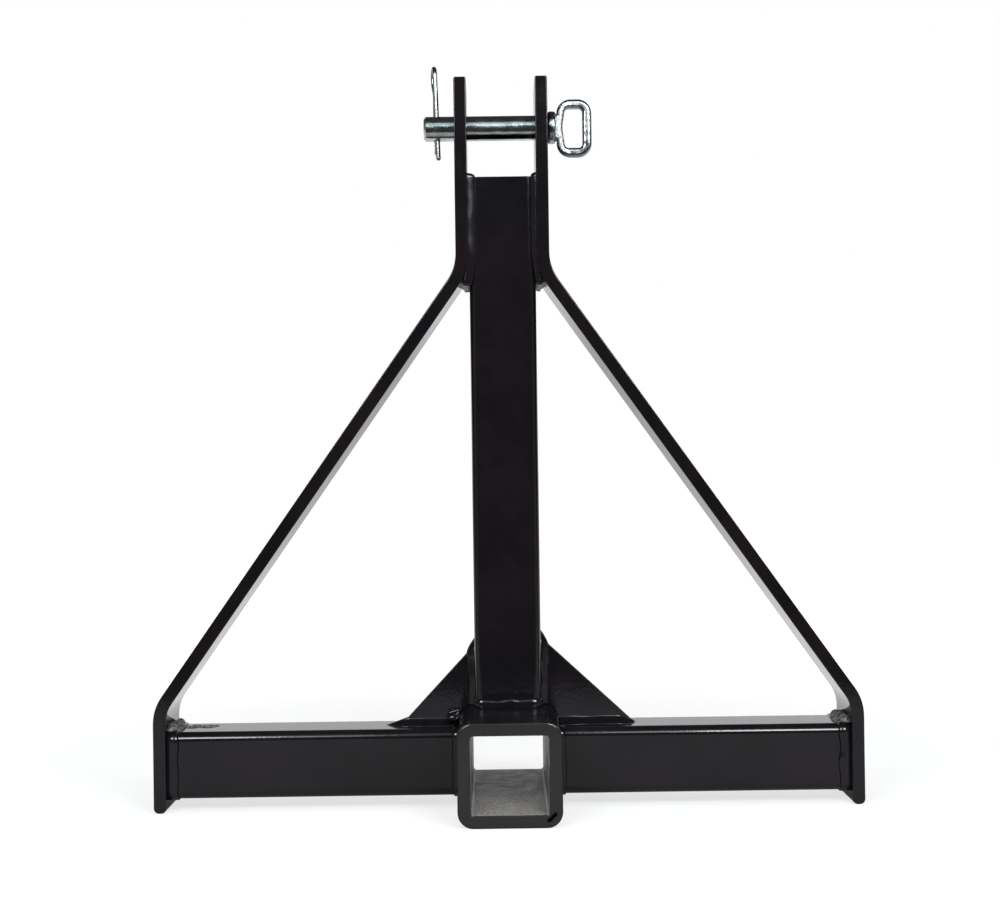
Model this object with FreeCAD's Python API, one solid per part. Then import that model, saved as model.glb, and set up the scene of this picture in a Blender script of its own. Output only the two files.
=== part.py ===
import FreeCAD, Part
import math
import os

Vector = FreeCAD.Vector
to_right = Vector(1, 0, 0)
to_back = Vector(0, 1, 0)
to_top = Vector(0, 0, 1)

# Three-point receiver hitch, in millimetres. The origin is on the ground under the middle of
# the receiver tube, +X is the hitch's width, -Y is the receiver's mouth and +Z is up.

# Receiver tube: square steel tube, open at both ends, lying along Y on the ground
receiver_size = 76.2
receiver_wall = 9.525
receiver_corner = 11.5
receiver_bore_corner = 2.4
receiver_length = 177.8
receiver_edge_break = 0.8

# Cross hole of the receiver, for the pin that locks the drawbar in it
locking_pin_diameter = 15.875
locking_pin_clearance = 0.4
locking_hole_from_mouth = 48.0

# Square tube of the mast and of the two crossbars
frame_tube_size = 50.8
frame_tube_wall = 4.76
frame_tube_corner = 6.4
crossbar_height_from_ground = 9.8
frame_middle_from_mouth = 95.6
mast_top_below_ears = 75.9

# Bent flat bars: ear beside the mast, diagonal, then a leg that closes the crossbar's end
bar_thickness = 9.525
bar_depth = 57.15
bar_edge_round = 0.8
ear_top_round = 1.6
leg_bottom_round = 4.0
ear_gap_to_mast = 0.8
overall_width = 540.6
ear_top_height = 557.2
upper_bend_height = 411.7
lower_bend_height = 79.1
upper_bend_radius = 36.0
lower_bend_radius = 27.0

# Lower link holes in the legs, on the crossbars' centre line
lower_link_pin_diameter = 22.225
lower_link_clearance = 0.3

# Triangular gusset plates between the mast and the crossbars, cut by hand to two sizes
right_gusset_width = 72.5
right_gusset_height = 67.5
left_gusset_width = 58.0
left_gusset_height = 62.0
gusset_thickness = 6.35
gusset_tip_round = 1.2

# Fillet welds round the tubes' ends: their legs, root and the flat left beside the round face
seam_leg_across = 6.0
seam_leg_along = 5.4
seam_root_depth = 3.2
seam_face_flat = 0.3
end_seam_leg_along = 7.6

# Straight weld beads: radius of the round bead and how deep its centre sits in the welded piece
gusset_bead_radius = 5.5
gusset_bead_depth = 1.4
ear_bead_radius = 5.0
ear_bead_depth = 2.3
ear_bead_rise = 3.0
ear_bead_bend = 12.0
crotch_bead_radius = 4.6
crotch_bead_drop = 5.9
crotch_bead_from_mast = 2.6
smallest_bead = 5.0

# Top link pin with its collar and its forged ring
pin_diameter = 19.05
pin_hole_clearance = 0.375
pin_below_ears = 34.4
pin_tip_from_ear = 23.8
pin_tip_chamfer = 1.6
collar_diameter = 25.2
collar_thickness = 6.7
collar_round = 2.4
collar_seat_gap = 0.4
ring_thickness = 7.4
ring_edge_round = 2.8
ring_width = 27.3
ring_height = 45.1
ring_drop = 0.9
ring_corner = 11.0
ring_start_from_collar = 0.6
ring_neck_width = 21.0
ring_neck_root = 4.6
ring_neck_corner = 3.4
finger_hole_width = 15.5
finger_hole_height = 30.3
finger_hole_from_far_side = 7.3
finger_hole_corner = 3.0
finger_hole_edge_round = 2.6
finger_hole_belly = 2.3
finger_hole_belly_radius = 30.0

# Hairpin clip through the pin's tip
clip_wire_diameter = 3.6
clip_hole_clearance = 0.7
clip_hole_chamfer = 1.0
clip_from_tip = 10.3
clip_length_below = 24.5
clip_length_above = 50.1
clip_eye_radius = 6.65
clip_lean_degrees = 1.7
clip_turn_degrees = 8.0
clip_pin_gap = 0.35
clip_neck_gap = 0.6
clip_neck_height = 27.0
clip_neck_bend = 4.0
clip_eye_exit_bend = 5.0
clip_wrap_end_degrees = -40.0
clip_flare_bend = 3.5
clip_flare_run = 5.0
clip_flare_length = 7.0
clip_flare_degrees = -53.0

# Runs shorter than this between two arcs are left out of an outline
shortest_run = 0.001

# Faces less deep than this along Y count as flat front or back faces
flat_face_depth = 0.01

# Places that follow from the sizes above
mouth_y = -receiver_length / 2
frame_middle_y = mouth_y + frame_middle_from_mouth
tube_half = frame_tube_size / 2
ear_inner_x = tube_half + ear_gap_to_mast
ear_outer_x = ear_inner_x + bar_thickness
leg_outer_x = overall_width / 2
leg_inner_x = leg_outer_x - bar_thickness
receiver_side_x = receiver_size / 2
receiver_top_z = receiver_size
crossbar_top_z = crossbar_height_from_ground + frame_tube_size
crossbar_middle_z = crossbar_height_from_ground + tube_half
bar_front_y = frame_middle_y - bar_depth / 2
mast_top_height = ear_top_height - mast_top_below_ears
pin_height = ear_top_height - pin_below_ears
end_seam_leg = (bar_depth - frame_tube_size) / 2 - bar_edge_round
bar_slope = math.atan2(leg_outer_x - ear_outer_x, upper_bend_height - lower_bend_height)
bar_bend_step = bar_thickness * math.tan(bar_slope / 2)


def corner_arc(before, corner, after, radius):
    """Start, middle and end of the arc that rounds one corner."""
    to_before = (before - corner).normalize()
    to_after = (after - corner).normalize()
    half_angle = to_before.getAngle(to_after) / 2
    reach = radius / math.tan(half_angle)
    bisector = (to_before + to_after).normalize()
    to_arc = radius / math.sin(half_angle) - radius
    return corner + to_before * reach, corner + bisector * to_arc, corner + to_after * reach


def rounded_path(points, radii, closed=True):
    """Wire of straight runs through the points, with each corner rounded."""
    arcs = []
    for index, (corner, radius) in enumerate(zip(points, radii)):
        if radius == 0:
            arcs.append((corner, None, corner))
        else:
            after = points[(index + 1) % len(points)]
            arcs.append(corner_arc(points[index - 1], corner, after, radius))
    edges = []
    runs = len(points) if closed else len(points) - 1
    for index, (start, middle, end) in enumerate(arcs):
        if middle is not None:
            edges.append(Part.Arc(start, middle, end).toShape())
        following = arcs[(index + 1) % len(points)][0]
        if index < runs and end.distanceToPoint(following) > shortest_run:
            edges.append(Part.makeLine(end, following))
    return Part.Wire(edges)


def rectangle_bar(width, height, corner, start, along, across, up):
    """Solid bar of a rounded rectangle in the plane of the last two unit vectors."""
    signs = [(1, 1), (-1, 1), (-1, -1), (1, -1)]
    points = [start + across * (width / 2 * side) + up * (height / 2 * level) for side, level in signs]
    return Part.Face(rounded_path(points, [corner] * len(points))).extrude(along)


def square_bar(size, corner, start, along, across, up):
    """Solid square bar with rounded corners."""
    return rectangle_bar(size, size, corner, start, along, across, up)


def round_bar(diameter, start, along):
    """Round bar or cutter that runs along a vector."""
    return Part.makeCylinder(diameter / 2, along.Length, start, along)


def sweep_round(path, radius, round_ends=False):
    """Round rod along a path, with ball ends where asked."""
    first = path.OrderedEdges[0]
    start = first.firstVertex(True).Point
    direction = first.tangentAt(first.FirstParameter)
    if first.Orientation == "Reversed":
        direction = first.tangentAt(first.LastParameter) * -1
    profile = Part.Wire(Part.makeCircle(radius, start, direction))
    rod = path.makePipeShell([profile], True, True)
    if round_ends:
        for vertex in (path.OrderedVertexes[0], path.OrderedVertexes[-1]):
            rod = rod.fuse(Part.makeSphere(radius, vertex.Point))
    return rod


def mirrored(shape):
    """The same shape on the hitch's other side."""
    return shape.mirror(Vector(0, 0, 0), to_right)


def front_mirrored(shape):
    """The same shape on the other side of the frame's middle plane."""
    return shape.mirror(Vector(0, frame_middle_y, 0), to_back)


def flat_faces(shape):
    """Front and back faces of a plate that lies across Y."""
    return [face for face in shape.Faces if face.BoundBox.YLength < flat_face_depth]


def receiver_body():
    """Receiver without its bore, which the welds lie on."""
    start = Vector(0, mouth_y, receiver_size / 2)
    return square_bar(receiver_size, receiver_corner, start, to_back * receiver_length, to_right, to_top)


def receiver_tube(body):
    """Receiver with its square bore and the cross hole for the locking pin."""
    broken = body.makeChamfer(receiver_edge_break, body.Faces[-1].Edges + body.Faces[-2].Edges)
    bore_size = receiver_size - 2 * receiver_wall
    start = Vector(0, mouth_y, receiver_size / 2)
    along = to_back * receiver_length
    hollow = square_bar(bore_size, receiver_bore_corner, start, along, to_right, to_top)
    hole_start = Vector(-receiver_size, mouth_y + locking_hole_from_mouth, receiver_size / 2)
    hole_diameter = locking_pin_diameter + 2 * locking_pin_clearance
    hole = round_bar(hole_diameter, hole_start, to_right * (2 * receiver_size))
    return broken.cut([hollow, hole])


def frame_tube_pair(start, along, across, up):
    """Outer body and hollow tube of one length of the frame's square tube."""
    inner_size = frame_tube_size - 2 * frame_tube_wall
    inner_corner = frame_tube_corner - frame_tube_wall
    body = square_bar(frame_tube_size, frame_tube_corner, start, along, across, up)
    hollow = square_bar(inner_size, inner_corner, start, along, across, up)
    return body, body.cut(hollow)


def mast_pair():
    """Mast standing on the receiver's top face."""
    start = Vector(0, frame_middle_y, receiver_top_z)
    return frame_tube_pair(start, to_top * (mast_top_height - receiver_top_z), to_right, to_back)


def crossbar_pair():
    """Right-hand crossbar, from the receiver's side to the leg."""
    start = Vector(receiver_side_x, frame_middle_y, crossbar_middle_z)
    return frame_tube_pair(start, to_right * (leg_inner_x - receiver_side_x), to_back, to_top)


def side_bar():
    """Right-hand flat bar, bent twice, with the pin's hole and the lower link's hole."""
    outer = [(ear_outer_x, ear_top_height), (ear_outer_x, upper_bend_height)]
    outer += [(leg_outer_x, lower_bend_height), (leg_outer_x, 0)]
    inner = [(leg_inner_x, 0), (leg_inner_x, lower_bend_height - bar_bend_step)]
    inner += [(ear_inner_x, upper_bend_height - bar_bend_step), (ear_inner_x, ear_top_height)]
    outer_radii = [ear_top_round, upper_bend_radius, lower_bend_radius + bar_thickness, leg_bottom_round]
    inner_radii = [leg_bottom_round, lower_bend_radius, upper_bend_radius + bar_thickness, ear_top_round]
    points = [Vector(x, bar_front_y, z) for x, z in outer + inner]
    outline = rounded_path(points, outer_radii + inner_radii)
    bar = Part.Face(outline).extrude(to_back * bar_depth)
    bar = bar.makeFillet(bar_edge_round, [edge for face in flat_faces(bar) for edge in face.Edges])
    through_bar = to_right * (2 * bar_thickness)
    pin_start = Vector(ear_inner_x - bar_thickness / 2, frame_middle_y, pin_height)
    pin_hole = round_bar(pin_diameter + 2 * pin_hole_clearance, pin_start, through_bar)
    link_start = Vector(leg_inner_x - bar_thickness / 2, frame_middle_y, crossbar_middle_z)
    link_hole = round_bar(lower_link_pin_diameter + 2 * lower_link_clearance, link_start, through_bar)
    return bar.cut([pin_hole, link_hole])


def gusset(width, height, receiver_outer):
    """Gusset plate of the right-hand side, with its corner cut to the receiver's shoulder."""
    points = [
        Vector(tube_half, 0, crossbar_top_z + height),
        Vector(tube_half + width, 0, crossbar_top_z),
        Vector(tube_half, 0, crossbar_top_z),
    ]
    outline = rounded_path(points, [gusset_tip_round, gusset_tip_round, 0])
    plate = Part.Face(outline).extrude(to_back * gusset_thickness)
    plate.translate(Vector(0, frame_middle_y - gusset_thickness / 2, 0))
    return plate.cut(receiver_outer)


def collar_seam(foot, axes, legs, root):
    """Bead right round the end of a frame tube, with a rounded face and its root below the foot."""
    along, across, up = axes
    leg_along, leg_across, leg_up = legs
    width = frame_tube_size + 2 * leg_across
    height = frame_tube_size + 2 * leg_up
    corner = frame_tube_corner + min(leg_across, leg_up)
    run = along * (leg_along + root)
    bead = rectangle_bar(width, height, corner, foot - along * root, run, across, up)
    face = max(bead.Faces, key=lambda item: item.CenterOfMass.dot(along))
    return bead.makeFillet(min(legs) - seam_face_flat, face.Edges)


def mast_base_weld(neighbours):
    """Fillet weld round the foot of the mast."""
    foot = Vector(0, frame_middle_y, receiver_top_z)
    legs = (seam_leg_along, seam_leg_across, seam_leg_across)
    return collar_seam(foot, (to_top, to_right, to_back), legs, seam_root_depth).cut(neighbours)


def crossbar_weld(x, side, legs, root, neighbours):
    """Fillet weld round one end of the right-hand crossbar."""
    foot = Vector(x, frame_middle_y, crossbar_middle_z)
    return collar_seam(foot, (to_right * side, to_back, to_top), legs, root).cut(neighbours)


def ear_weld(neighbours):
    """Beads in the grooves between the right-hand ear and the mast, down into the crotch."""
    x = ear_inner_x - ear_bead_depth
    y = frame_middle_y - tube_half + ear_bead_depth
    crotch_z = upper_bend_height - bar_bend_step - crotch_bead_drop
    points = [
        Vector(tube_half + crotch_bead_from_mast, y, crotch_z),
        Vector(x, y, upper_bend_height),
        Vector(x, y, mast_top_height + ear_bead_rise - ear_bead_radius),
    ]
    path = rounded_path(points, [0, ear_bead_bend, 0], closed=False)
    bead = sweep_round(path, ear_bead_radius, True).cut(neighbours)
    beads = [solid for solid in bead.Solids if solid.Volume > smallest_bead]
    return Part.makeCompound(beads + [front_mirrored(solid) for solid in beads])


def crotch_weld(neighbours):
    """Bead that closes the gap under the right-hand ear's bend."""
    x = tube_half + crotch_bead_from_mast
    z = upper_bend_height - bar_bend_step - crotch_bead_drop
    half_run = tube_half - ear_bead_depth
    near = Vector(x, frame_middle_y - half_run, z)
    return round_bar(2 * crotch_bead_radius, near, to_back * (2 * half_run)).cut(neighbours)


def gusset_weld(width, height, neighbours):
    """Beads along a gusset's foot and up the mast, meeting round the plate's tips."""
    near = frame_middle_y - gusset_thickness / 2 + gusset_bead_depth
    far = frame_middle_y + gusset_thickness / 2 - gusset_bead_depth
    foot_tip = Vector(tube_half + width, 0, crossbar_top_z)
    mast_tip = Vector(tube_half, 0, crossbar_top_z + height)
    foot_run = to_right * (receiver_corner - width)
    mast_run = to_top * (receiver_corner - height)
    beads = []
    for tip, run in ((foot_tip, foot_run), (mast_tip, mast_run)):
        for y in (near, far):
            end = tip + to_back * y
            path = Part.Wire(Part.makeLine(end + run, end))
            beads.append(sweep_round(path, gusset_bead_radius, True))
    welds = beads[0].fuse(beads[1:]).cut(neighbours)
    return Part.makeCompound([bead for bead in welds.Solids if bead.Volume > smallest_bead])


def pin_ring(near_x):
    """Forged ring of the pin on a neck: a rounded rod with a finger hole that bellies inward."""
    far_x = near_x + ring_width
    neck_x = near_x - ring_neck_root
    neck_half = ring_neck_width / 2
    top = ring_height / 2 - ring_drop
    bottom = -ring_height / 2 - ring_drop
    outer = [(far_x, top), (far_x, bottom), (near_x, bottom), (near_x, -neck_half)]
    outer += [(neck_x, -neck_half), (neck_x, neck_half), (near_x, neck_half), (near_x, top)]
    outer_radii = [ring_corner] * 3 + [0] + [ring_neck_corner] * 2 + [0, ring_corner]
    hole_far_x = far_x - finger_hole_from_far_side
    hole_near_x = hole_far_x - finger_hole_width
    corner_x = hole_near_x + finger_hole_belly
    hole_top = finger_hole_height / 2 - ring_drop
    hole_bottom = -finger_hole_height / 2 - ring_drop
    hole = [(hole_far_x, hole_top), (hole_far_x, hole_bottom), (corner_x, hole_bottom)]
    hole += [(hole_near_x, 0), (corner_x, hole_top)]
    hole_radii = [finger_hole_corner] * 3 + [finger_hole_belly_radius, finger_hole_corner]
    plates = []
    for corners, radii in ((outer, outer_radii), (hole, hole_radii)):
        points = [Vector(x, -ring_thickness / 2, z) for x, z in corners]
        plates.append(Part.Face(rounded_path(points, radii)).extrude(to_back * ring_thickness))
    body, opening = plates
    ring = body.makeFillet(ring_edge_round, [edge for face in flat_faces(body) for edge in face.Edges])
    ring = ring.cut(opening)
    rims = []
    for face in flat_faces(ring):
        for wire in face.Wires:
            if not wire.isSame(face.OuterWire):
                rims.extend(wire.Edges)
    return ring.makeFillet(finger_hole_edge_round, rims)


def top_link_pin():
    """Pin with a chamfered tip, a collar outside the right-hand ear and a forged ring."""
    tip_x = -ear_outer_x - pin_tip_from_ear
    seat_x = ear_outer_x + collar_seat_gap
    shank = round_bar(pin_diameter, Vector(tip_x, 0, 0), to_right * (seat_x - tip_x))
    shank = shank.makeChamfer(pin_tip_chamfer, [edge for edge in shank.Edges if edge.BoundBox.XMax < 0])
    collar = round_bar(collar_diameter, Vector(seat_x, 0, 0), to_right * collar_thickness)
    rims = [edge for edge in collar.Edges if edge.BoundBox.XLength < collar_round]
    collar = collar.makeFillet(collar_round, rims)

    ring = pin_ring(seat_x + collar_thickness + ring_start_from_collar)

    hole_x = tip_x + clip_from_tip
    hole_diameter = clip_wire_diameter + 2 * clip_hole_clearance
    hole = round_bar(hole_diameter, Vector(hole_x, 0, -pin_diameter), to_top * (2 * pin_diameter))
    depth = clip_hole_chamfer + pin_diameter / 2
    mouths = []
    for side in (-1, 1):
        foot = Vector(hole_x, 0, side * (pin_diameter / 2 - clip_hole_chamfer))
        hole_radius = hole_diameter / 2
        mouths.append(Part.makeCone(hole_radius, hole_radius + depth, depth, foot, to_top * side))
    pin = shank.fuse([collar, ring]).cut([hole] + mouths)
    pin.translate(Vector(0, frame_middle_y, pin_height))
    return pin


def hairpin_clip():
    """Spring wire clip: a straight leg through the pin, an eye, and a leg bowed round the pin."""
    eye_x = 2 * clip_eye_radius
    top = clip_length_above - clip_wire_diameter / 2
    bow_radius = pin_diameter / 2 + clip_wire_diameter / 2 + clip_pin_gap
    neck = Vector(0, clip_wire_diameter + clip_neck_gap, clip_neck_height)
    toward_pin = math.atan2(-neck.z, -neck.y)
    leaving = toward_pin + math.asin(bow_radius / neck.Length)
    wrap_start = leaving + math.pi / 2
    wrap_end = math.radians(clip_wrap_end_degrees)
    wrap_middle = (wrap_start + wrap_end) / 2
    wrap_reach = bow_radius / math.cos((wrap_start - wrap_end) / 2)
    wrap_corner = Vector(0, math.cos(wrap_middle), math.sin(wrap_middle)) * wrap_reach
    wrap_exit = Vector(0, math.cos(wrap_end), math.sin(wrap_end)) * bow_radius
    flare_corner = wrap_exit + Vector(0, math.sin(wrap_end), -math.cos(wrap_end)) * clip_flare_run
    flare_angle = math.radians(clip_flare_degrees)
    flare_end = flare_corner + Vector(0, math.cos(flare_angle), math.sin(flare_angle)) * clip_flare_length
    eye_foot = top - clip_eye_radius - clip_eye_exit_bend
    points = [Vector(0, 0, -clip_length_below + clip_wire_diameter / 2), Vector(0, 0, top)]
    points += [Vector(0, eye_x, top), Vector(0, eye_x, eye_foot)]
    points += [neck, wrap_corner, flare_corner, flare_end]
    radii = [0, clip_eye_radius, clip_eye_radius, clip_eye_exit_bend]
    radii += [clip_neck_bend, bow_radius, clip_flare_bend, 0]
    clip = sweep_round(rounded_path(points, radii, closed=False), clip_wire_diameter / 2, True)
    clip.rotate(Vector(0, 0, 0), to_top, clip_turn_degrees)
    clip.rotate(Vector(0, 0, 0), to_back, -clip_lean_degrees)
    hole_x = -ear_outer_x - pin_tip_from_ear + clip_from_tip
    clip.translate(Vector(hole_x, frame_middle_y, pin_height))
    return clip


def build_nodes():
    """Every piece of the hitch by its name."""
    receiver = receiver_body()
    mast_outer, mast = mast_pair()
    crossbar_outer, crossbar = crossbar_pair()
    bar = side_bar()
    inner_legs = (seam_leg_along, seam_leg_across, seam_leg_across)
    outer_legs = (end_seam_leg_along, end_seam_leg, seam_leg_across)
    right_plate = gusset(right_gusset_width, right_gusset_height, receiver)
    left_plate = gusset(left_gusset_width, left_gusset_height, receiver)
    round_seam = [crossbar_outer, receiver, right_plate]
    receiver_weld = crossbar_weld(receiver_side_x, 1, inner_legs, seam_root_depth, round_seam)
    base_weld = mast_base_weld([mast_outer, receiver, crossbar_outer, mirrored(crossbar_outer)])
    joined = [mast_outer, crossbar_outer, receiver, receiver_weld, base_weld]
    ear_bead = ear_weld([mast_outer, bar])
    right_side = {
        "crossbar": crossbar,
        "side_bar": bar,
        "crossbar_end_weld": crossbar_weld(leg_inner_x, -1, outer_legs, 0, [crossbar_outer]),
        "receiver_weld": receiver_weld,
        "ear_weld": ear_bead,
        "bend_weld": crotch_weld([mast_outer, bar, ear_bead]),
    }
    nodes = {"receiver_tube": receiver_tube(receiver), "mast_tube": mast}
    for name, shape in right_side.items():
        nodes[name + "_right"] = shape
        nodes[name + "_left"] = mirrored(shape)
    right_bead = gusset_weld(right_gusset_width, right_gusset_height, joined + [right_plate])
    left_bead = gusset_weld(left_gusset_width, left_gusset_height, joined + [left_plate])
    nodes["gusset_right"] = right_plate
    nodes["gusset_left"] = mirrored(left_plate)
    nodes["gusset_weld_right"] = right_bead
    nodes["gusset_weld_left"] = mirrored(left_bead)
    nodes["mast_base_weld"] = base_weld.cut([right_plate, mirrored(left_plate)])
    nodes["top_link_pin"] = top_link_pin()
    nodes["hairpin_clip"] = hairpin_clip()
    return nodes


def main():
    os.makedirs("parts", exist_ok=True)
    for name, shape in build_nodes().items():
        shape.exportStep(os.path.join("parts", name + ".step"))
        print(name, len(shape.Solids), "solid", round(shape.Volume), "mm3", shape.isValid())


main()
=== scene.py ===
import math
import random
import bmesh
import bpy
from mathutils import Matrix, Vector, noise


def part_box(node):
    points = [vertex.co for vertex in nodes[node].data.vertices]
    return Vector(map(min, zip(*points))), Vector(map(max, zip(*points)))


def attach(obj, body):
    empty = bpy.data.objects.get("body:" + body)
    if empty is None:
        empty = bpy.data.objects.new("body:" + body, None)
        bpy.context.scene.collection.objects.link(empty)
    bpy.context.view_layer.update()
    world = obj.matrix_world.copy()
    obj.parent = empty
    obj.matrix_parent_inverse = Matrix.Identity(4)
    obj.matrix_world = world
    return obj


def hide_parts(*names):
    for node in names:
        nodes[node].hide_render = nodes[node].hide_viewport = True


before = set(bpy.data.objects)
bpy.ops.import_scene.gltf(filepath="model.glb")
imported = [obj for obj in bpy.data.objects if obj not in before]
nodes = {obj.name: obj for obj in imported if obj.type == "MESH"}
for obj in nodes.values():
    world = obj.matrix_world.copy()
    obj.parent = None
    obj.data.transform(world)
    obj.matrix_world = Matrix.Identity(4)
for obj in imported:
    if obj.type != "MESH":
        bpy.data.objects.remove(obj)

print("hitch: frame loaded,", len(nodes), "nodes")

scene = bpy.context.scene
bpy.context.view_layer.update()          # before anything is hidden or added

right, back, top = Vector((1, 0, 0)), Vector((0, 1, 0)), Vector((0, 0, 1))
sides = {"right": 1, "left": -1}

mastLow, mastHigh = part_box("mast_tube")
receiverLow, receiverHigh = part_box("receiver_tube")
crossbarLow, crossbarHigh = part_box("crossbar_right")
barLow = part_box("side_bar_right")[0]
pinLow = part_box("top_link_pin")[0]
frameMiddle = (mastLow.y + mastHigh.y) / 2
receiverMiddle = (receiverLow.z + receiverHigh.z) / 2


class Value:                  # one output of a node; an expression on Values adds its Math nodes
    def __init__(self, finish, socket):
        self.finish = finish
        self.socket = socket

    def combine(self, operation, first, second):
        return self.finish.add("Math", {"operation": operation}, {0: first, 1: second})

    def __add__(self, other):
        return self.combine("ADD", self, other)

    def __radd__(self, other):
        return self.combine("ADD", other, self)

    def __sub__(self, other):
        return self.combine("SUBTRACT", self, other)

    def __rsub__(self, other):
        return self.combine("SUBTRACT", other, self)

    def __mul__(self, other):
        return self.combine("MULTIPLY", self, other)

    def __rmul__(self, other):
        return self.combine("MULTIPLY", other, self)

    def __gt__(self, other):
        return self.combine("GREATER_THAN", self, other)

    def __lt__(self, other):
        return self.combine("LESS_THAN", self, other)

    def __abs__(self):
        return self.combine("ABSOLUTE", self, 0.0)

    def step(self, low, high):          # 0 below low, 1 above high, smooth between
        settings = {"interpolation_type": "SMOOTHSTEP"}
        sockets = {"Value": self, "From Min": low, "From Max": high}
        return self.finish.add("MapRange", settings, sockets)


class Finish:                 # the nodes of one material, or of the world
    def __init__(self, name, tree=None):
        if tree is None:
            self.material = bpy.data.materials.new(name)
            self.material.use_nodes = True
            tree = self.material.node_tree
        self.tree = tree
        self.tree.nodes.clear()

    def add(self, kind, settings=None, sockets=None, out=0):
        node = self.tree.nodes.new("ShaderNode" + kind)
        for key, value in (settings or {}).items():
            setattr(node, key, value)
        for key, value in (sockets or {}).items():
            if isinstance(value, Value):
                self.tree.links.new(value.socket, node.inputs[key])
            else:
                node.inputs[key].default_value = value
        return Value(self, node.outputs[out]) if node.outputs else None

    def place(self):                    # object coordinates, in metres
        return self.add("TexCoord", out="Object")

    def axes(self, vector):
        split = self.add("SeparateXYZ", sockets={0: vector}).socket.node
        return [Value(self, output) for output in split.outputs]

    def stretched(self, place, scale):
        return self.add("Mapping", {"vector_type": "TEXTURE"}, {"Vector": place, "Scale": scale})

    def grain(self, vector, scale, detail, roughness):
        sockets = {"Vector": vector, "Scale": scale, "Detail": detail, "Roughness": roughness}
        return self.add("TexNoise", sockets=sockets)

    def mask(self, vector, field):      # a field is a grain's scale, detail and roughness, then its step
        scale, detail, roughness, low, high = field
        return self.grain(vector, scale, detail, roughness).step(low, high)

    def blend(self, amount, first, second):
        pair = [value if isinstance(value, Value) else (*value, 1.0) for value in (first, second)]
        return self.add("Mix", {"data_type": "RGBA"}, {0: amount, 6: pair[0], 7: pair[1]}, 2)

    def bump(self, height, strength, distance, under=None):
        sockets = {"Strength": strength, "Distance": distance, "Height": height}
        if under is not None:
            sockets["Normal"] = under
        return self.add("Bump", sockets=sockets)

    def surface(self, **sockets):
        plain = {key.replace("_", " "): value for key, value in sockets.items()}
        shader = self.add("BsdfPrincipled", sockets=plain)
        self.add("OutputMaterial", sockets={"Surface": shader})
        return self.material


powderCoat = {
    "black": (0.0046, 0.0040, 0.0052),
    "warmBlack": (0.0084, 0.0058, 0.0075),
    "dust": (0.060, 0.054, 0.050),
    "gloss": 0.085,
    "weldGloss": 0.12,
    "patches": (14.0, 4.0, 0.6, 0.38, 0.64),
    "specks": (900.0, 2.0, 0.7, 0.68, 0.80),
    "film": (60.0, 5.0, 0.65, 0.52, 0.80),
    "smears": (34.0, 4.0, 0.6, 0.35, 0.75),
    "speckDust": 0.06,
    "filmDust": 0.05,
    "dustBelow": 0.08,           # the share of dust on faces that don't look up
    "lookingUp": (0.2, 0.95),
    "smearDull": 0.05,
    "filmDull": 0.03,
    "speckDull": 0.06,
    "peel": (300.0, 1.0, 0.4),   # orange peel, about 3 mm from crest to crest
    "peelDepth": 0.0004,
    "peelStrength": 0.09,
    "weldPeelStrength": 0.05,
    "pores": (1900.0, 2.0, 0.6),
    "poreDepth": 0.00005,
    "poreStrength": 0.10,
    "ior": 1.5,
}


def coatFinish(name, gloss, peelStrength, extra=None):
    finish = Finish(name)
    place = finish.place()
    specks, film, smears = [finish.mask(place, powderCoat[key]) for key in ("specks", "film", "smears")]
    lookingUp = finish.axes(finish.add("NewGeometry", out="Normal"))[2].step(*powderCoat["lookingUp"])
    lying = lookingUp * (1 - powderCoat["dustBelow"]) + powderCoat["dustBelow"]
    dust = (specks * powderCoat["speckDust"] + film * powderCoat["filmDust"]) * lying
    patches = finish.mask(place, powderCoat["patches"])
    colour = finish.blend(patches, powderCoat["black"], powderCoat["warmBlack"])
    colour = finish.blend(dust, colour, powderCoat["dust"])
    roughness = gloss + smears * powderCoat["smearDull"] + film * powderCoat["filmDull"]
    roughness = roughness + specks * powderCoat["speckDull"]
    pores = finish.grain(place, *powderCoat["pores"])
    metal = 0.0
    if extra is not None:
        colour, roughness, pores, metal = extra(finish, place, colour, roughness, pores)
    peel = finish.grain(place, *powderCoat["peel"])
    normal = finish.bump(peel, peelStrength, powderCoat["peelDepth"])
    normal = finish.bump(pores, powderCoat["poreStrength"], powderCoat["poreDepth"], normal)
    return finish.surface(Base_Color=colour, Roughness=roughness, Metallic=metal, Normal=normal,
                          IOR=powderCoat["ior"])


receiverMarks = {
    "brown": (0.085, 0.074, 0.066),
    "grey": (0.330, 0.310, 0.292),
    "wall": 0.0092,
    "skin": 0.0004,              # a face counts as the end or the top within this depth
    "mouthEdge": (0.0012, 0.0030),
    "mouthGrain": (380.0, 3.0, 0.7),
    "mouthRagged": 0.007,
    "patches": (90.0, 6.0, 0.75, 0.36, 0.66),
    "speckle": (560.0, 5.0, 0.8, 0.43, 0.58),
    "speckleShare": 0.75,
    "scale": (420.0, 4.0, 0.7),
    "scaleHeight": 5.0,
    "boreRough": 0.42,
    "patchRough": 0.14,
    "endFace": (0.0165, 0.0150, 0.0152),
    "endDull": 0.08,
    "upperDull": 0.15,
    "nickPlace": (0.0303, 0.0078),
    "nickTurn": 40.0,
    "nickHalf": (0.0058, 0.0014),
    "nickLong": (0.6, 1.0),      # shares of half the length and the width between which the nick fades
    "nickShort": (0.5, 1.4),
    "nickGrain": (520.0, 3.0, 0.7),
    "nickRagged": 0.0030,
    "nickBlack": (0.0015, 0.0015, 0.0015),
    "nickDull": 0.8,
}


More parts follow.
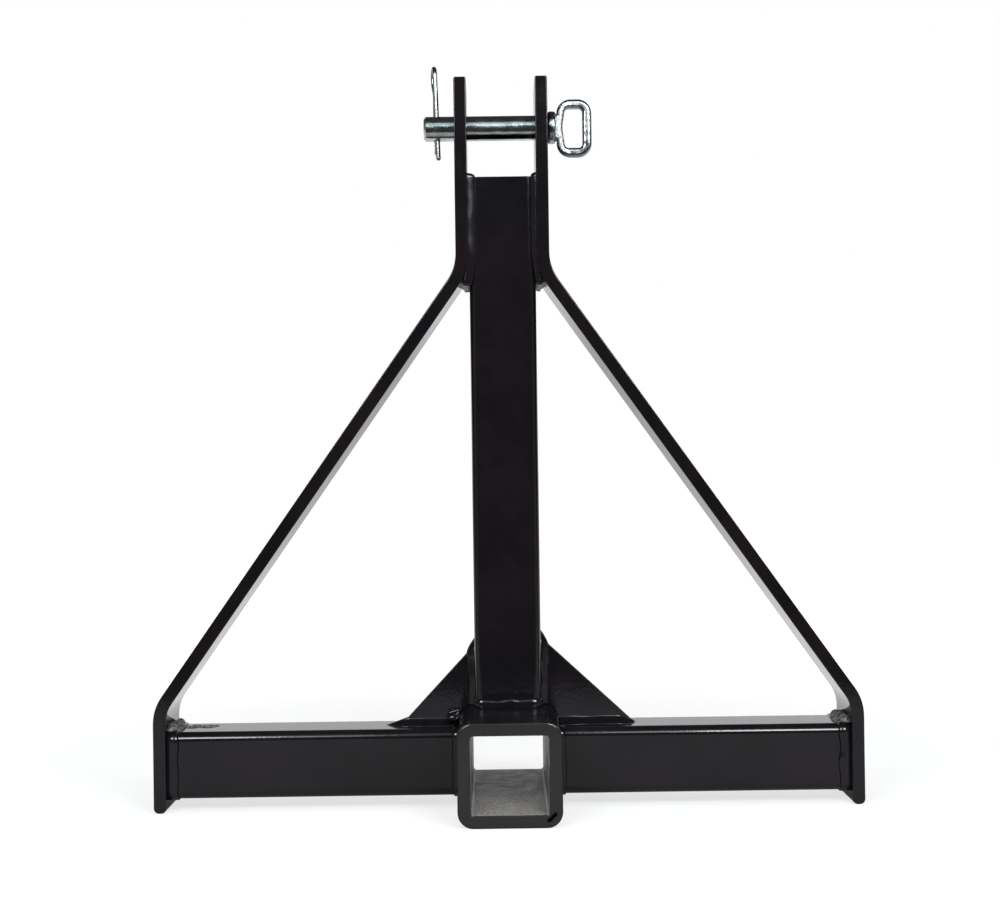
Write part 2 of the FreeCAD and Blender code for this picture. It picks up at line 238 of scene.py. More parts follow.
def nickMask(finish, x, z, ragged):
    # a short slanted nick, 1 inside
    dx, dz = x - receiverMarks["nickPlace"][0] + ragged, z - receiverMarks["nickPlace"][1] - ragged
    turn = math.radians(receiverMarks["nickTurn"])
    long = abs(dx * math.cos(turn) + dz * math.sin(turn))
    short = abs(dz * math.cos(turn) - dx * math.sin(turn))
    halfLong, halfShort = receiverMarks["nickHalf"]
    alongFade = long.step(*[halfLong * share for share in receiverMarks["nickLong"]])
    acrossFade = short.step(*[halfShort * share for share in receiverMarks["nickShort"]])
    return (1 - alongFade) * (1 - acrossFade)


def receiverExtra(finish, place, colour, roughness, pores):
    # thin overspray inside the bore, a duller sawn end face, and one nick in its lower corner
    x, y, z = finish.axes(place)
    reach = receiverHigh.x - receiverMarks["wall"]
    inside = (abs(x) < reach) * (abs(z - receiverMiddle) < reach)
    ragged = (finish.grain(place, *receiverMarks["mouthGrain"]) - 0.5) * receiverMarks["mouthRagged"]
    deep = (y + ragged).step(*[receiverLow.y + depth for depth in receiverMarks["mouthEdge"]])
    bore = inside * deep
    patches = finish.mask(place, receiverMarks["patches"])
    speckle = finish.mask(place, receiverMarks["speckle"])
    bareness = patches * (1 - receiverMarks["speckleShare"]) + speckle * receiverMarks["speckleShare"]
    bare = finish.blend(bareness, receiverMarks["brown"], receiverMarks["grey"])
    endFace = y < receiverLow.y + receiverMarks["skin"]
    jagged = (finish.grain(place, *receiverMarks["nickGrain"]) - 0.5) * receiverMarks["nickRagged"]
    nick = nickMask(finish, x, z, jagged) * endFace
    colour = finish.blend(endFace, colour, receiverMarks["endFace"])
    colour = finish.blend(nick, colour, receiverMarks["nickBlack"])
    colour = finish.blend(bore, colour, bare)
    boreRough = receiverMarks["boreRough"] + patches * receiverMarks["patchRough"]
    upper = z > receiverHigh.z - receiverMarks["skin"]
    roughness = roughness * (1 - bore) + boreRough * bore + endFace * receiverMarks["endDull"]
    roughness = roughness + upper * receiverMarks["upperDull"] + nick * receiverMarks["nickDull"]
    scale = finish.grain(place, *receiverMarks["scale"]) * bore * receiverMarks["scaleHeight"]
    return colour, roughness, pores + scale, nick      # a black metal shows nothing in the nick


weldScale = {
    "dark": (0.030, 0.026, 0.024),
    "light": (0.215, 0.190, 0.178),
    "patches": (520.0, 4.0, 0.7, 0.38, 0.68),
    "lumps": (900.0, 3.0, 0.6),
    "lumpDepth": 0.0004,
    "lumpStrength": 0.5,
    "rough": 0.30,
    "patchRough": 0.15,
}


def scaleFinish(name):        # thin coat over rough weld, where the brown scale shows
    finish = Finish(name)
    place = finish.place()
    patches = finish.mask(place, weldScale["patches"])
    colour = finish.blend(patches, weldScale["dark"], weldScale["light"])
    lumps = finish.grain(place, *weldScale["lumps"])
    normal = finish.bump(lumps, weldScale["lumpStrength"], weldScale["lumpDepth"])
    roughness = patches * weldScale["patchRough"] + weldScale["rough"]
    return finish.surface(Base_Color=colour, Roughness=roughness, Normal=normal, IOR=powderCoat["ior"])


zinc = {
    "bright": (0.66, 0.68, 0.69),
    "dull": (0.44, 0.455, 0.46),
    "grey": (0.16, 0.165, 0.165),
    "pinGloss": 0.13,
    "wireGloss": 0.20,
    "clouds": (120.0, 5.0, 0.65, 0.32, 0.70),
    "wear": (700.0, 3.0, 0.7, 0.45, 0.75),
    "cloudDull": 0.06,
    "wearDull": 0.10,
    "dents": (150.0, 1.5, 0.4),
    "dentStretch": (1.6, 1.0, 1.0),
    "dentDepth": 0.0006,
    "pinDents": 0.42,
    "wireDents": 0.16,
    "greyFrom": (0.0340, 0.0400),      # along the pin, where the forging gets greyer
    "greyShare": 0.45,
    "neckFrom": (0.0360, 0.0440),      # the forged neck is pitted between these
    "neckTo": (0.0480, 0.0560),
    "pits": (900.0, 3.0, 0.6),
    "pitDepth": 0.0006,
    "pitStrength": 0.8,
    "turning": (260.0, 2.0, 0.5),
    "turningStretch": (0.06, 1.0, 1.0),
    "turningDepth": 0.0002,
    "turningStrength": 0.09,
    "wireGrey": 0.5,
    "wireCloudGrey": 0.3,
}


def zincFinish(name, gloss, dentStrength, forged):
    finish = Finish(name)
    place = finish.place()
    x = finish.axes(place)[0]
    clouds = finish.mask(place, zinc["clouds"])
    wear = finish.mask(place, zinc["wear"])
    if forged:
        greyness = x.step(*zinc["greyFrom"]) * zinc["greyShare"]
    else:
        greyness = clouds * zinc["wireCloudGrey"] + zinc["wireGrey"]
    colour = finish.blend(greyness, finish.blend(clouds, zinc["dull"], zinc["bright"]), zinc["grey"])
    roughness = gloss + clouds * zinc["cloudDull"] + wear * zinc["wearDull"]
    dents = finish.grain(finish.stretched(place, zinc["dentStretch"]), *zinc["dents"])
    normal = finish.bump(dents, dentStrength, zinc["dentDepth"])
    if forged:
        neck = x.step(*zinc["neckFrom"]) * (1 - x.step(*zinc["neckTo"]))
        pits = finish.grain(place, *zinc["pits"]) * neck
        normal = finish.bump(pits, zinc["pitStrength"], zinc["pitDepth"], normal)
        turning = finish.grain(finish.stretched(place, zinc["turningStretch"]), *zinc["turning"])
        normal = finish.bump(turning, zinc["turningStrength"], zinc["turningDepth"], normal)
    return finish.surface(Base_Color=colour, Metallic=1.0, Roughness=roughness, Normal=normal)


finishes = {
    "frameCoat": coatFinish("blackPowderCoat", powderCoat["gloss"], powderCoat["peelStrength"]),
    "weldCoat": coatFinish("coatedWeld", powderCoat["weldGloss"], powderCoat["weldPeelStrength"]),
    "receiverCoat": coatFinish("receiverCoat", powderCoat["gloss"], powderCoat["peelStrength"],
                               receiverExtra),
    "weldScale": scaleFinish("weldScale"),
    "pinZinc": zincFinish("pinZinc", zinc["pinGloss"], zinc["pinDents"], True),
    "wireZinc": zincFinish("wireZinc", zinc["wireGloss"], zinc["wireDents"], False),
}


def dress(mesh, finish):
    mesh.materials.clear()
    mesh.materials.append(finishes[finish])


for name in nodes:
    dress(nodes[name].data, "weldCoat" if "weld" in name else "frameCoat")
dress(nodes["receiver_tube"].data, "receiverCoat")
dress(nodes["top_link_pin"].data, "pinZinc")
dress(nodes["hairpin_clip"].data, "wireZinc")
print("hitch: finishes made")

looks = {                     # finish, slot and body of each sort of added piece
    "weld": ("weldCoat", "coated_weld", "frame"),
    "scale": ("weldScale", "coated_weld", "frame"),
    "burr": ("pinZinc", "zinc_pin", "pin"),
}


def addPiece(name, points, faces, look, covers=()):
    finish, slot, body = looks[look]
    mesh = bpy.data.meshes.new(name)
    mesh.from_pydata(points, [], faces)
    work = bmesh.new()
    work.from_mesh(mesh)
    bmesh.ops.recalc_face_normals(work, faces=work.faces)
    work.to_mesh(mesh)
    work.free()
    mesh.validate()
    mesh.shade_smooth()
    dress(mesh, finish)
    piece = bpy.data.objects.new(name, mesh)
    scene.collection.objects.link(piece)
    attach(piece, body)
    if covers:
        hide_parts(*covers)


edges = {                     # width of the eased edge on each sawn piece
    "receiver_tube": 0.0009,
    "side_bar_right": 0.0007,
    "side_bar_left": 0.0007,
    "gusset_right": 0.0006,
    "gusset_left": 0.0006,
    "mast_tube": 0.0006,
}
easing = {
    "merge": 1e-6,
    "flat": 0.5,                 # degrees
    "sharp": 40.0,
    "segments": 3,
    "profile": 0.5,
}


def easeEdges(name, width, finish):
    # the node's own shape with its sawn edges eased, standing in its place
    mesh = nodes[name].data.copy()
    work = bmesh.new()
    work.from_mesh(mesh)
    bmesh.ops.remove_doubles(work, verts=work.verts, dist=easing["merge"])
    bmesh.ops.dissolve_limit(work, angle_limit=math.radians(easing["flat"]), verts=work.verts,
                             edges=work.edges)
    sharp = [edge for edge in work.edges if edge.calc_face_angle(0.0) > math.radians(easing["sharp"])]
    eased = set(bmesh.ops.bevel(work, geom=sharp, offset=width, offset_type="OFFSET",
                                segments=easing["segments"], profile=easing["profile"],
                                affect="EDGES", clamp_overlap=False)["faces"])
    work.normal_update()
    normals = []
    for vertex in work.verts:
        flat = [face for face in vertex.link_faces if face not in eased] or vertex.link_faces
        normals.append(sum((face.normal * face.calc_area() for face in flat), Vector()).normalized())
    work.to_mesh(mesh)
    work.free()
    dress(mesh, finish)
    mesh.shade_smooth()
    mesh.normals_split_custom_set_from_vertices(normals)
    piece = bpy.data.objects.new("eased_" + name, mesh)
    scene.collection.objects.link(piece)
    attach(piece, "frame")
    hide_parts(name)


for name, width in edges.items():
    easeEdges(name, width, "receiverCoat" if name == "receiver_tube" else "frameCoat")
print("hitch: sawn edges eased")


def noiseAt(x, y, z):
    return noise.noise(Vector((x, y, z)))


def between(limits, share):
    low, high = limits
    return low + (high - low) * share


def mirrorX(point, side):
    return Vector((point[0] * side, point[1], point[2]))


def flatten(rings):
    return [point for ring in rings for point in ring]


def arch(share):              # 0 at both ends, 1 in the middle
    return 4 * share * (1 - share)


def roundedEnd(near, least):
    # a quarter circle from least at the very end to 1 where near reaches 1
    return math.sqrt(max(0.0, 1 - (1 - min(near, 1.0)) ** 2)) * (1 - least) + least


def tubeFaces(rings, size, loop):
    # quads between neighbouring rings, with closing faces at the ends of an open run
    faces = []
    for index in range(rings if loop else rings - 1):
        here, following = index * size, ((index + 1) % rings) * size
        for part in range(size):
            nextPart = (part + 1) % size
            faces.append((here + part, here + nextPart, following + nextPart, following + part))
    if not loop:
        faces.append(tuple(reversed(range(size))))
        faces.append(tuple(range((rings - 1) * size, rings * size)))
    return faces


def roundedLine(corners, radius, closed):
    # corners of a flat outline, each rounded, as closely spaced points
    count = len(corners)
    steps = 12                # in each corner's curve
    points = []
    for index, corner in enumerate(corners):
        if not closed and index in (0, count - 1):
            points.append(corner)
            continue
        before = (corners[index - 1] - corner).normalized()
        after = (corners[(index + 1) % count] - corner).normalized()
        half = before.angle(after) / 2
        centre = corner + (before + after).normalized() * (radius / math.sin(half))
        start = corner + before * (radius / math.tan(half)) - centre
        turn = math.pi - 2 * half
        if before.x * after.y - before.y * after.x > 0:
            turn = -turn
        for part in range(steps + 1):
            points.append(centre + Matrix.Rotation(turn * part / steps, 2) @ start)
    if closed:
        points.append(points[0])
    return points


def evenSteps(points, step):
    # the same line as places and directions at even distances
    lengths = [0.0]
    for first, second in zip(points, points[1:]):
        lengths.append(lengths[-1] + (second - first).length)
    count = max(4, round(lengths[-1] / step))
    places = []
    segment = 0
    for index in range(count + 1):
        along = lengths[-1] * index / count
        while segment < len(points) - 2 and lengths[segment + 1] < along:
            segment += 1
        run = lengths[segment + 1] - lengths[segment]
        share = (along - lengths[segment]) / run if run else 0.0
        places.append(points[segment].lerp(points[segment + 1], share))
    closed = (points[0] - points[-1]).length < 1e-7
    headings = []
    for index in range(count + 1):
        if closed:
            ahead, behind = places[(index + 1) % count], places[(index - 1) % count]
        else:
            ahead, behind = places[min(index + 1, count)], places[max(index - 1, 0)]
        headings.append((ahead - behind).normalized())
    return places, headings, lengths[-1] / count, closed


bead = {
    "step": 0.0005,              # between two sections
    "pitch": 0.0026,             # from one ripple to the next
    "lag": 1.1,                  # ripples by which the toes run ahead of the crown
    "waver": 0.5,                # ripples by which noise moves them
    "trough": 0.6,
    "faceSteps": 10,
    "endRound": 0.0034,
    "endLeast": 0.015,
    "calm": 0.01,                # the run at a loop's seam where noise fades out
    "highRate": 90.0,            # noise per metre along the bead, for its height, width and lumps
    "wideRate": 60.0,
    "lumpRate": 150.0,
}


def beadSection(section, high, wide, along, wander, seed):
    # the bead's face from toe to toe, then its root in the steel
    normal = Vector((high, wide)).normalized()
    ring = []
    for part in range(bead["faceSteps"] + 1):
        share = part / bead["faceSteps"]
        rise = arch(share)
        phase = along / bead["pitch"] + bead["lag"] * rise + bead["waver"] * wander
        puddle = abs(math.sin(math.pi * phase)) - bead["trough"]
        lump = noiseAt(along * bead["lumpRate"], share * 6, seed * 1.7) * section["lumps"]
        lift = section["crown"] * rise + (section["ripple"] * puddle + lump) * min(1.0, rise * 2.5)
        ring.append((wide * share + normal.x * lift, high * (1 - share) + normal.y * lift))
    inset, root = section["inset"], section["root"]
    ring += [(wide - inset * 0.4, -root * 0.5), (wide * 0.4, -root)]
    return ring + [(-inset, -root), (-inset, high - inset)]


def sweepBead(name, line, plane, section, covers, seed):
    # plane: origin, the flat line's two axes, and the way the bead stands up from it
    origin, first, second, up = plane
    places, headings, step, loop = evenSteps(line, bead["step"])
    count = len(places) - 1
    rings = []
    for index in range(count if loop else count + 1):
        along = index * step
        across = first * -headings[index].y + second * headings[index].x
        centre = origin + first * places[index].x + second * places[index].y
        fromEnd = min(along, step * count - along)
        calm = min(1.0, fromEnd / bead["calm"]) if loop else 1.0
        wander = noiseAt(along * bead["highRate"], seed * 7.3, 0) * calm
        sway = noiseAt(along * bead["wideRate"], seed * 3.1, 5) * calm
        ease = 1.0 if loop else roundedEnd(fromEnd / bead["endRound"], bead["endLeast"])
        high = section["along"] * (1 + section["sway"] * wander)
        wide = section["across"] * (1 + section["sway"] * sway)
        ring = beadSection(section, high, wide, along, wander, seed)
        rings.append([centre + across * (x * ease) + up * (y * ease) for x, y in ring])
    addPiece(name, flatten(rings), tubeFaces(len(rings), len(rings[0]), loop), "weld", covers)


rope = {
    "step": 0.18,                # every length is a share of the bead's radius
    "size": 18,
    "endLeast": 0.02,
    "noise": 0.75,
    "noiseShare": 1.3,
    "wave": 0.75,
    "waveShare": 0.25,
}


def ropeBead(name, path, radius, lumps, look, covers=(), seed=0, closed=False):
    # a round, lumpy bead along a line in space
    line = path + [path[0]] if closed else path
    places, headings, step, loop = evenSteps(line, radius * rope["step"])
    count = len(places) - 1
    rings = []
    for index in range(count if loop else count + 1):
        heading = headings[index]
        beside = heading.cross(top if abs(heading.z) < 0.9 else right).normalized()
        above = beside.cross(heading)
        along = index * step
        ease = 1.0 if loop else roundedEnd(min(along, step * count - along) / radius, rope["endLeast"])
        ring = []
        for part in range(rope["size"]):
            angle = 2 * math.pi * part / rope["size"]
            turn = beside * math.cos(angle) + above * math.sin(angle)
            spot = (places[index] + turn * radius) * (rope["noise"] / radius)
            rough = noiseAt(spot.x + seed, spot.y, spot.z) * rope["noiseShare"]
            wave = math.sin(2 * math.pi * along / (radius * rope["wave"]) + angle) * rope["waveShare"]
            ring.append(places[index] + turn * (radius * ease * (1 + lumps * (rough + wave))))
        rings.append(ring)
    addPiece(name, flatten(rings), tubeFaces(len(rings), rope["size"], loop), look, covers)


plateBead = {
    "faceSteps": 13,
    "step": 0.00075,
    "root": 0.0012,
    "rootShare": 0.8,
    "swell": 0.10,
    "swellRate": 70.0,           # noise per metre along the bead, and over its face
    "streakRate": 420.0,
    "streakRun": 22.0,
    "lean": 0.7,                 # shares of a streak's height that go sideways and up
    "endLeast": 0.02,
    "narrow": 0.75,
    "lipHigh": 1.12,
}
footBead = dict(plateBead, wide=0.0074, high=0.0056, bow=1.8, crown=0.0002, streak=0.0003, lip=0.0003,
                crest=1.16)
mastBead = dict(plateBead, wide=0.0050, high=0.0068, bow=1.0, crown=0.0007, streak=0.0009, lip=0.0,
                crest=1.06)
# past the plate's tip: the last full section, the bead's end, and how it thins in between
footTails = {"right": (-0.0130, 0.0026, 2.0), "left": (-0.0050, 0.0130, 0.95)}
mastTail = (-0.0070, 0.0071, 1.5)


def humpSection(shape, half, reach, swell, seed):
    # one section through both fillets: places across the plate and heights
    wide, high = shape["wide"] * swell, shape["high"] * swell
    side = []
    for part in range(shape["faceSteps"] + 1):
        share = part / shape["faceSteps"]
        side.append((half + wide * (1 - share) ** shape["bow"], high * share, share))
    if shape["lip"]:
        side.append((half - shape["lip"], high * shape["lipHigh"], 1.0))      # hidden in the plate
    crest = [(0.0, high * shape["crest"], 1.0)]
    outline = [(-y, z, share) for y, z, share in side] + crest + side[::-1]
    rate = shape["streakRate"]
    ring = []
    for y, z, share in outline:
        streak = noiseAt(y * rate, z * rate, reach * shape["streakRun"] + seed)
        lift = arch(share) * (shape["crown"] + shape["streak"] * streak) * shape["lean"]
        ring.append((y + math.copysign(lift, y), z + lift))
    rootHalf = half + shape["wide"] * shape["rootShare"]
    return ring + [(rootHalf, -shape["root"]), (-rootHalf, -shape["root"])]


def humpBead(name, plane, start, length, tail, half, shape, covers, seed):
    # fillets on both faces of a plate, joined past its tip into one bulge that thins out
    foot, along, across, up = plane
    full, end, fade = length + tail[0], length + tail[1], tail[2]
    count = round((end - start) / shape["step"])
    rings = []
    for index in range(count + 1):
        reach = start + (end - start) * index / count
        past = max(0.0, (reach - full) / (end - full))
        thin = (1 - past ** fade) * (1 - shape["endLeast"]) + shape["endLeast"]
        narrow = 1 - shape["narrow"] * past ** 2
        swell = 1 + shape["swell"] * noiseAt(reach * shape["swellRate"], seed, 3)
        ring = humpSection(shape, half, reach, swell, seed)
        rings.append([foot + along * reach + across * (y * narrow) + up * (z * thin) for y, z in ring])
    addPiece(name, flatten(rings), tubeFaces(len(rings), len(rings[0]), False), "weld", covers)


tubeHalf = (mastHigh.x - mastLow.x) / 2
tubeCorner = 0.0064
crossbarMiddle = (crossbarLow.z + crossbarHigh.z) / 2
squareCorners = [(tubeHalf, tubeHalf), (-tubeHalf, tubeHalf), (-tubeHalf, -tubeHalf), (tubeHalf, -tubeHalf)]
tubeLine = roundedLine([Vector(corner) for corner in squareCorners], tubeCorner, True)
collar = {
    "along": 0.0052,             # up the standing piece, and out over the other
    "across": 0.0060,
    "crown": 0.0009,
    "root": 0.0032,
    "inset": 0.0012,
    "sway": 0.16,
    "ripple": 0.00005,
    "lumps": 0.0004,
}
baseSeam = dict(collar, along=0.0070, across=0.0085, crown=0.0010, ripple=0.00004, lumps=0.0010, sway=0.20)
endSeam = dict(collar, along=0.0092, across=0.0029, crown=0.0008, root=0.0004, ripple=0.00022, lumps=0.0019)

mastFoot = Vector((0, frameMiddle, receiverHigh.z))
sweepBead("mastBaseBead", tubeLine, (mastFoot, right, back, top), baseSeam, ["mast_base_weld"], 3)
for word, side in sides.items():
    outerEnd = Vector((side * crossbarHigh.x, frameMiddle, crossbarMiddle))
    innerEnd = Vector((side * crossbarLow.x, frameMiddle, crossbarMiddle))
    sweepBead("legBead_" + word, tubeLine, (outerEnd, back, top, right * -side), endSeam,
              ["crossbar_end_weld_" + word], 11 + side)
    sweepBead("receiverBead_" + word, tubeLine, (innerEnd, back, top, right * side), collar,
              ["receiver_weld_" + word], 17 + side)
print("hitch: tube welds swept")

earWeldLow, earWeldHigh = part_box("ear_weld_right")
bendWeldLow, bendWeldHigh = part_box("bend_weld_right")
earSeam = {
    "along": 0.0021,
    "crown": 0.0002,
    "root": 0.0052,
    "inset": 0.0007,
    "sway": 0.08,
    "ripple": 0.0,
    "lumps": 0.00002,
}
earWidths = {"right": 0.0040, "left": 0.0062}
earLine = [(0.0003, -0.0036), (0.0105, -0.0020), (0.0250, 0.0)]      # above the bend weld, toward the mast
earCorner = 0.004
crotch = {"radius": 0.0050, "lumps": 0.07, "back": 0.0310, "front": -0.0160, "rise": 0.0012}
for word, side in sides.items():
    seam = dict(earSeam, across=earWidths[word])
    for face, faceWord in ((-1, "Front"), (1, "Back")):
        corner = Vector((side * barLow.x, frameMiddle + face * tubeHalf, 0))
        line = [Vector((earWeldLow.z + rise, reach)) for rise, reach in earLine]
        line.append(Vector((earWeldHigh.z, 0)))
        covers = ["ear_weld_" + word] if face < 0 else []
        sweepBead("ear" + faceWord + "Bead_" + word, roundedLine(line, earCorner, False),
                  (corner, top, right * -side, back * face), seam, covers, 23 + side + 3 * face)
    bendX = (bendWeldLow.x + bendWeldHigh.x) / 2
    bendZ = (bendWeldLow.z + bendWeldHigh.z) / 2 + crotch["rise"]
    path = [mirrorX((bendX, crotch[key], bendZ), side) for key in ("front", "back")]
    ropeBead("crotchBead_" + word, path, crotch["radius"], crotch["lumps"], "scale",
             ["bend_weld_" + word], 40 + side)

footStart = receiverHigh.x - mastHigh.x - 0.004      # a little inside the receiver's side
mastStart = receiverHigh.z - crossbarHigh.z
for word, side in sides.items():
    gussetLow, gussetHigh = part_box("gusset_" + word)
    half = (gussetHigh.y - gussetLow.y) / 2
    width, height = gussetHigh.x - gussetLow.x, gussetHigh.z - gussetLow.z
    foot = Vector((side * mastHigh.x, frameMiddle, crossbarHigh.z))
    humpBead("gussetFootBead_" + word, (foot, right * side, back, top), footStart, width, footTails[word],
             half, footBead, ["gusset_weld_" + word], 31 + side)
    humpBead("gussetMastBead_" + word, (foot, top, back, right * side), mastStart, height, mastTail,
             half, mastBead, [], 37 + side)
print("hitch: bar and gusset welds swept")

legLumps = {
    "radius": 0.0045,
    "ridgeRadius": 0.00315,
    "lumps": 0.32,
    "corner": (-0.0024, 0.0, 0.0012),      # from the crossbar's outer top corner, in the frame's middle
    "path": [(0.0006, -0.0215, -0.0026), (0.0, -0.014, 0.0),
             (-0.0012, 0.0, -0.0004), (0.0, 0.019, -0.0012)],
    "toRidge": (-0.0040, 0.0, -0.0022),
}
for word, side in sides.items():
    corner = Vector((crossbarHigh.x, frameMiddle, crossbarHigh.z)) + Vector(legLumps["corner"])
    path = [mirrorX(corner + Vector(point), side) for point in legLumps["path"]]
    ropeBead("legTopLumps_" + word, path, legLumps["radius"], legLumps["lumps"], "scale", seed=52 + side)
    path = [point + mirrorX(legLumps["toRidge"], side) for point in path[1:]]
    ropeBead("legTopRidge_" + word, path, legLumps["ridgeRadius"], legLumps["lumps"], "scale",
             seed=55 + side)


def addLumps(name, lumps, look):
    # several small closed lumps as one piece, each given as its rings
    points, faces = [], []
    for rings in lumps:
        first = len(points)
        points += flatten(rings)
        for face in tubeFaces(len(rings), len(rings[0]), False):
            faces.append(tuple(first + corner for corner in face))
    addPiece(name, points, faces, look)


spatter = {
    "count": 24,
    "left": (-0.2490, -0.2265),
    "back": (0.0050, 0.0165),
    "size": (0.0006, 0.0020),
    "stretch": 1.7,
    "rings": [(1.0, -0.0003), (0.86, 0.0004), (0.5, 0.0007)],      # share of the size, height
    "ringSize": 10,
    "tall": (0.6, 1.2),
    "wobble": 0.25,
}
dice = random.Random(5)
lumps = []
for drop in range(spatter["count"]):
    roll = [dice.random() for part in range(4)]
    centre = Vector((between(spatter["left"], roll[0]), between(spatter["back"], roll[1]), crossbarHigh.z))
    size, tall = between(spatter["size"], roll[2]), between(spatter["tall"], roll[3])
    rings = []
    for reach, rise in spatter["rings"]:
        ring = []
        for part in range(spatter["ringSize"]):
            angle = 2 * math.pi * part / spatter["ringSize"]
            x, y = math.cos(angle), math.sin(angle)
            wobble = 1 + spatter["wobble"] * noiseAt(x * 2, y * 2, drop)
            flat = Vector((x * spatter["stretch"], y, 0)) * (size * reach * wobble)
            ring.append(centre + flat + top * (rise * tall))
        rings.append(ring)
    lumps.append(rings)
addLumps("weldSpatter", lumps, "scale")

junction = {                  # a curled lump where three welds meet, left of the receiver's mouth
    "axis": (0.0000, 0.0676),    # back, up
    "radius": 0.0052,
    "lumps": 0.14,
    "body": [0.0365, 0.0415, 0.0465],
    "curlLumps": 0.06,           # each curl: its radius, then places to the left and turns from the top
    "curls": [(0.0013, [(0.0372, 20), (0.0392, 28), (0.0415, 34), (0.0440, 42), (0.0462, 58)]),
              (0.0015, [(0.0372, 70), (0.0392, 96), (0.0420, 108), (0.0450, 104), (0.0476, 92)])],
    "drops": [((-0.0436, -0.0068, 0.0682), (0.0032, 0.0021, 0.0010), 0),
              ((-0.0394, -0.0062, 0.0704), (0.0014, 0.0024, 0.0009), 144)],      # middle, half sizes, seed
    "dropFacing": (-0.20, -0.91, 0.35),
    "dropRings": 10,
    "dropRingSize": 16,
    "dropWobble": 0.25,
}


def dropLump(middle, half, seed):
    # a flattened, uneven ball that faces the way the junction's drops do
    facing = Vector(junction["dropFacing"]).to_track_quat("Z", "Y")
    rings = []
    for index in range(1, junction["dropRings"]):
        tilt = math.pi * index / junction["dropRings"]
        ring = []
        for part in range(junction["dropRingSize"]):
            angle = 2 * math.pi * part / junction["dropRingSize"]
            spot = Vector((math.sin(tilt) * math.cos(angle), math.sin(tilt) * math.sin(angle),
                           math.cos(tilt)))
            rough = 1 + junction["dropWobble"] * noiseAt(spot.x * 1.5 + seed, spot.y * 1.5, spot.z * 1.5)
            ring.append(Vector(middle) + facing @ (spot * Vector(half) * rough))
        rings.append(ring)
    return rings


lumpY, lumpZ = junction["axis"]
path = [Vector((-x, lumpY, lumpZ)) for x in junction["body"]]
ropeBead("junctionLump", path, junction["radius"], junction["lumps"], "weld", seed=60)
addLumps("junctionDrops", [dropLump(*drop) for drop in junction["drops"]], "weld")
for number, (radius, curl) in enumerate(junction["curls"]):
    path = [Vector((-x, lumpY - junction["radius"] * math.sin(math.radians(turn)),
                    lumpZ + junction["radius"] * math.cos(math.radians(turn)))) for x, turn in curl]
    ropeBead("junctionCurl_" + str(number), path, radius, junction["curlLumps"], "weld", seed=63 + number)

clipHole = {
    "fromTip": 0.0103,
    "axisHeight": 0.5228,
    "ring": 0.0031,
    "burrHeight": 0.0089,
    "pinRadius": 0.0095,
    "thickness": 0.00055,
    "lumps": 0.35,
    "steps": 24,
}
pinMiddle = Vector((pinLow.x + clipHole["fromTip"], frameMiddle, clipHole["axisHeight"]))
for face, word in ((1, "Top"), (-1, "Under")):
    path = []
    for part in range(clipHole["steps"]):
        angle = 2 * math.pi * part / clipHole["steps"]
        out = Vector((math.cos(angle), math.sin(angle), 0)) * clipHole["ring"]
        dip = clipHole["pinRadius"] - math.sqrt(clipHole["pinRadius"] ** 2 - out.y ** 2)
        path.append(pinMiddle + out + top * (face * (clipHole["burrHeight"] - dip)))
    ropeBead("clipHoleBurr" + word, path, clipHole["thickness"], clipHole["lumps"], "burr",
             seed=70 + face, closed=True)
print("hitch: lumps, spatter and burrs added")

stage = {"halfWidth": 20.0, "front": -0.58, "back": 20.0}
floorLight = {
    "grey": 0.27,
    "cloth": (3.0, 2.0, 0.55, 0.2, 0.8),
    "clothLift": 1.03,
    "seenNear": 0.72,            # lift towards white, weaker near the object so its shadow stays
    "seenFar": 1.0,
    "away": (0.12, 0.9),         # squared distances
    "shineNear": 0.08,           # painted reflection: the floor's glow seen only by glossy rays, weak just in front
    "shineBehind": 0.72,
    "shineFar": 0.52,
    "behind": (0.0, 0.25),
    "far": (0.7, 1.6),
}


def floorFinish():
    finish = Finish("paleFloor")
    place = finish.place()
    x, y = finish.axes(place)[:2]
    grey = [floorLight["grey"]] * 3
    colour = finish.blend(finish.mask(place, floorLight["cloth"]), grey,
                          [level * floorLight["clothLift"] for level in grey])
    away = (x * x + y * y).step(*floorLight["away"])
    rear, far = y.step(*floorLight["behind"]), y.step(*floorLight["far"])
    shown = away * (floorLight["seenFar"] - floorLight["seenNear"]) + floorLight["seenNear"]
    # painted reflection: the floor glows for glossy rays only, dim in front of the object, brighter behind
    # it and a little dimmer far behind
    shine = rear * (floorLight["shineBehind"] - floorLight["shineNear"]) + floorLight["shineNear"]
    shine = shine - far * (floorLight["shineBehind"] - floorLight["shineFar"])
    seen = finish.add("LightPath", out="Is Camera Ray")
    mirrored = finish.add("LightPath", out="Is Glossy Ray")
    strength = seen * shown + mirrored * shine
    matte = finish.add("BsdfDiffuse", sockets={"Color": colour})
    lift = finish.add("Emission", sockets={"Color": (1, 1, 1, 1), "Strength": strength})
    both = finish.add("AddShader", sockets={0: matte, 1: lift})
    finish.add("OutputMaterial", sockets={"Surface": both})
    return finish.material


floorMesh = bpy.data.meshes.new("floor")
floorMesh.from_pydata([(-stage["halfWidth"], stage["front"], 0), (stage["halfWidth"], stage["front"], 0),
                       (stage["halfWidth"], stage["back"], 0), (-stage["halfWidth"], stage["back"], 0)],
                      [], [(0, 1, 2, 3)])
floorMesh.materials.append(floorFinish())
floor = bpy.data.objects.new("floor", floorMesh)
scene.collection.objects.link(floor)

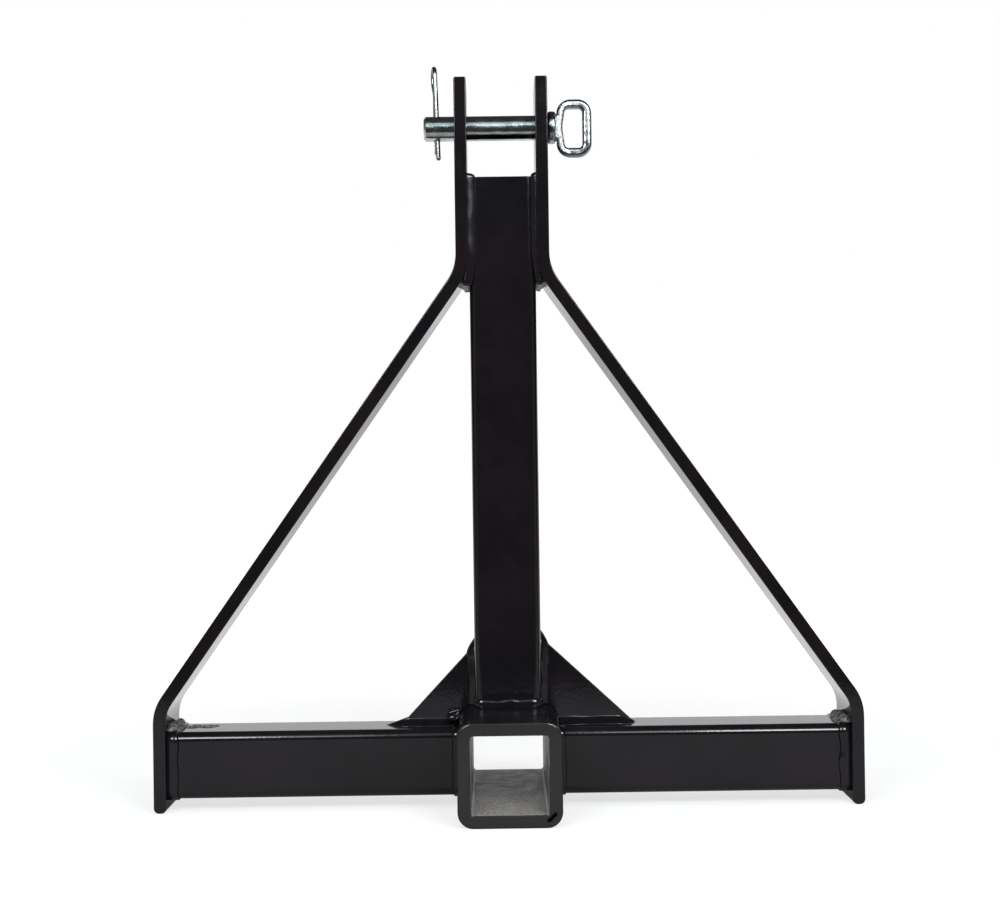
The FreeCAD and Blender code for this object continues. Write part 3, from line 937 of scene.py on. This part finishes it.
room = {
    "behind": 0.86,
    "front": 0.04,
    "sides": 0.18,
    "horizon": (0.30, 0.62),
    "turn": (0.55, 0.95),
}
world = bpy.data.worlds.new("studio")
scene.world = world
world.use_nodes = True
sky = Finish("studio", world.node_tree)
skyX, skyY, skyZ = sky.axes(sky.add("TexCoord", out="Generated"))
low = 1 - skyZ.step(*room["horizon"])
behind = skyY.step(*room["horizon"]) * low
beside = abs(skyX).step(*room["turn"]) * low
level = room["front"] + behind * (room["behind"] - room["front"]) + beside * (1 - behind) * room["sides"]
seen = sky.add("LightPath", out="Is Camera Ray")
light = sky.add("Background", sockets={"Color": (1, 1, 1, 1), "Strength": level * (1 - seen) + seen})
sky.add("OutputWorld", sockets={"Surface": light})

white, cool, pale = (1, 1, 1), (0.80, 0.99, 1.04), (0.96, 1.0, 1.01)
lamps = {                     # place, aim, size, power and colour
    "overheadSoft": ((0, -0.5, 2.6), (0, 0, 0), (3.0, 2.6), 38, white),
    "leftBox": ((-0.98, -1.75, 1.22), (-0.98, 0, 0.1), (1.00, 0.66), 28, pale),
    "rightBox": ((0.90, -1.75, 1.22), (0.90, 0, 0.1), (1.00, 0.66), 36, pale),
    "leftShoulder": ((-0.365, -1.76, 1.22), (-0.365, 0, 0.1), (0.22, 0.60), 1.3, cool),
    "rightShoulder": ((0.285, -1.76, 1.22), (0.285, 0, 0.1), (0.22, 0.60), 1.6, cool),
    "middleFill": ((0, -2.00, 1.80), (0, 0, 0.25), (2.6, 1.35), 7.5, cool),
}
for name, (place, aim, size, power, colour) in lamps.items():
    lamp = bpy.data.lights.new(name, "AREA")
    lamp.shape = "RECTANGLE"
    lamp.size, lamp.size_y = size
    lamp.energy = power
    lamp.color = colour
    holder = bpy.data.objects.new(name, lamp)
    holder.location = place
    holder.rotation_euler = (Vector(aim) - Vector(place)).to_track_quat("-Z", "Y").to_euler()
    holder.visible_glossy = name != "overheadSoft"      # it lights from above but isn't mirrored
    scene.collection.objects.link(holder)
print("hitch: stage lit")

view = {                      # fitted to the edges of the photograph
    "place": (-0.00677, -1.28204, 0.26909),
    "pitch": 90.168,
    "roll": 0.768,
    "turn": -0.132,
    "lens": 59.716,
    "sensor": 36.0,
}
lens = bpy.data.cameras.new("camera")
lens.lens = view["lens"]
lens.sensor_width = view["sensor"]
lens.sensor_fit = "HORIZONTAL"
camera = bpy.data.objects.new("camera", lens)
camera.location = view["place"]
camera.rotation_euler = [math.radians(view[key]) for key in ("pitch", "roll", "turn")]
scene.collection.objects.link(camera)
scene.camera = camera
scene.view_settings.view_transform = "Standard"

print("hitch: done")
